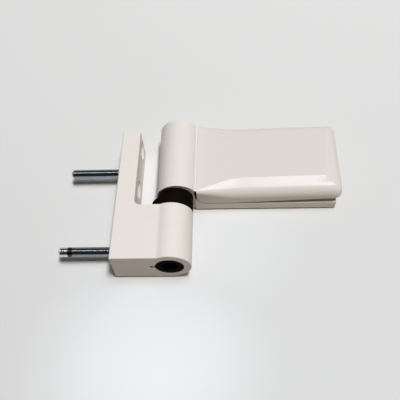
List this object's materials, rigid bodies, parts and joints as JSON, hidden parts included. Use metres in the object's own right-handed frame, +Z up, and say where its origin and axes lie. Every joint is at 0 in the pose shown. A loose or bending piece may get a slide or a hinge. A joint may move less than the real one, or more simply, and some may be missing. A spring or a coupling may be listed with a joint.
{
  "type": "two-part door hinge",
  "caption": "Two-part surface door hinge: flanged frame barrel with locating studs, black bush, and a sash barrel with a plate under a moulded cover cap.",
  "frame": {"origin": "on the frame seat, midway between its two screw holes", "axes": "+X from the frame seat towards the leaf at 90 degrees open, +Y up the pin, +Z up from the table it lies on"},
  "size_m": [0.1495, 0.0864, 0.022],
  "materials": {
    "frame_coating": "cream powder coat, satin",
    "sash_coating": "cream powder coat, satin",
    "cap_plastic": "cream moulded, soft gloss",
    "black_plastic": "black moulded, dull",
    "stud_steel": "plated, shiny",
    "pin_steel": "ground"
  },
  "bodies": {
    "frame_part": {"frame_body": "frame_coating", "lower_stud": "stud_steel", "upper_stud": "stud_steel", "frame_bush": "black_plastic", "hinge_pin": "pin_steel", "height_screw": "pin_steel"},
    "sash_part": {"sash_body": "sash_coating", "eccentric_bush": "black_plastic", "lock_screw": "pin_steel", "barrel_plug": "cap_plastic", "cover_cap": "cap_plastic"}
  },
  "joints": [
    {"name": "hinge_turn", "type": "hinge", "parent": "frame_part", "child": "sash_part", "pos_m": [0.029, -0.0155, 0.00075], "axis": [0, 1, 0], "range_deg": [-90, 90]}
  ]
}
